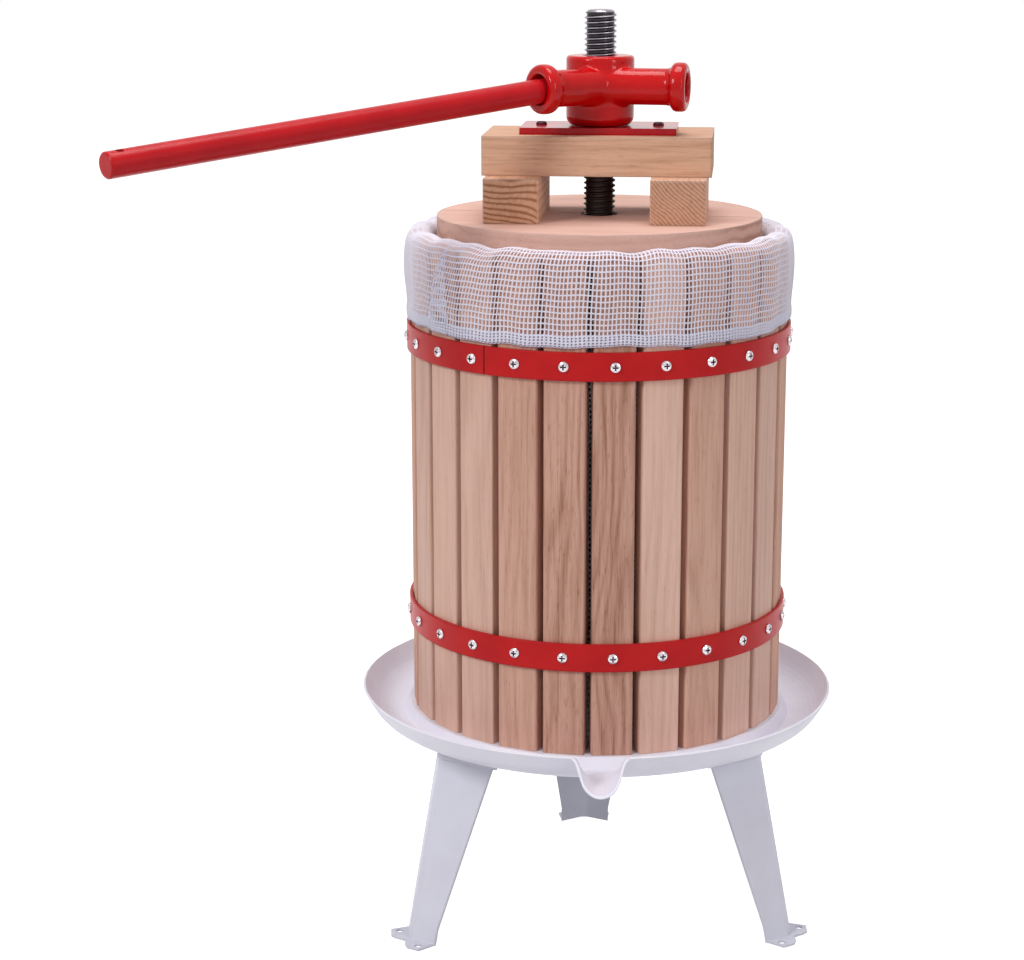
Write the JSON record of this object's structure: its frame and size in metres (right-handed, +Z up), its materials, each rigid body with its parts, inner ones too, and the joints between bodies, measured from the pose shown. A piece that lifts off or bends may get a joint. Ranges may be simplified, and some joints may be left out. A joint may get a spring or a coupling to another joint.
{
  "type": "basket press",
  "caption": "Hand basket press for fruit: slatted wooden basket with steel bands and a net bag on a three-legged spouted tray, pressed by a screw head with a bar handle.",
  "frame": {"origin": "on the floor, on the basket's axis, at the centre of the circle through the foot holes", "axes": "+Z up along the spindle, -Y towards the side of the juice spout, +X to the right when the spout is seen from the front"},
  "size_m": [0.5119, 0.4809, 0.713],
  "materials": {
    "white_powder_coat": "smooth satin powder coat",
    "zinc_steel": "zinc plated, satin",
    "spindle_steel": "bare steel thread, oiled",
    "beech": "sanded, bare, pinkish",
    "beech_pale": "sanded, bare, pale",
    "beech_brown": "sanded, bare, brown with dark grain",
    "beech_tan": "sanded, bare, tan",
    "red_enamel": "gloss enamel",
    "red_gloss": "high gloss enamel over a casting",
    "bright_screws": "bright plated",
    "dark_screws": "dull, dark",
    "white_net": "open square net, folded"
  },
  "bodies": {
    "frame": {"tray": "white_powder_coat", "leg_brackets": "white_powder_coat", "leg_front_left": "white_powder_coat", "leg_front_right": "white_powder_coat", "leg_rear": "white_powder_coat", "leg_bolts": "zinc_steel", "leg_nuts": "zinc_steel", "spindle": "spindle_steel", "spindle_washers": "zinc_steel", "spindle_nuts": "zinc_steel"},
    "basket": {"stave_01": "beech", "stave_02": "beech_pale", "stave_03": "beech_brown", "stave_04": "beech", "stave_05": "beech_pale", "stave_06": "beech_brown", "stave_07": "beech", "stave_08": "beech_pale", "stave_09": "beech_brown", "stave_10": "beech", "stave_11": "beech_pale", "stave_12": "beech_brown", "stave_13": "beech", "stave_14": "beech_pale", "stave_15": "beech_brown", "stave_16": "beech", "stave_17": "beech_pale", "stave_18": "beech_brown", "stave_19": "beech", "stave_20": "beech_pale", "stave_21": "beech_brown", "stave_22": "beech", "stave_23": "beech_pale", "stave_24": "beech_brown", "stave_25": "beech", "lower_band": "red_enamel", "upper_band": "red_enamel", "lower_band_screws": "bright_screws", "upper_band_screws": "bright_screws", "straining_bag": "white_net"},
    "press_stack": {"board_front": "beech", "board_rear": "beech_pale", "block_left": "beech_tan", "block_right": "beech_tan", "cross_beam": "beech_tan", "thrust_plate": "red_enamel", "plate_screws": "dark_screws"},
    "head": {"press_head": "red_gloss"},
    "handle": {"handle_rod": "red_gloss"}
  },
  "joints": [
    {"name": "basket_lift", "type": "slide", "parent": "frame", "child": "basket", "axis": [0, 0, 1], "range_m": [0, 0.03]},
    {"name": "press_slide", "type": "slide", "parent": "frame", "child": "press_stack", "axis": [0, 0, 1], "range_m": [-0.05, 0]},
    {"name": "head_turn", "type": "hinge", "parent": "press_stack", "child": "head", "pos_m": [0, 0, 0.628], "axis": [0, 0, 1], "range_deg": [-4500, 0]},
    {"name": "handle_slide", "type": "slide", "parent": "head", "child": "handle", "axis": [-0.7585, -0.6463, -0.0834], "range_m": [0, 0.028]}
  ],
  "couplings": [
    {"joint": "press_slide", "follows": "head_turn", "m_per_rad": 0.00063662}
  ]
}
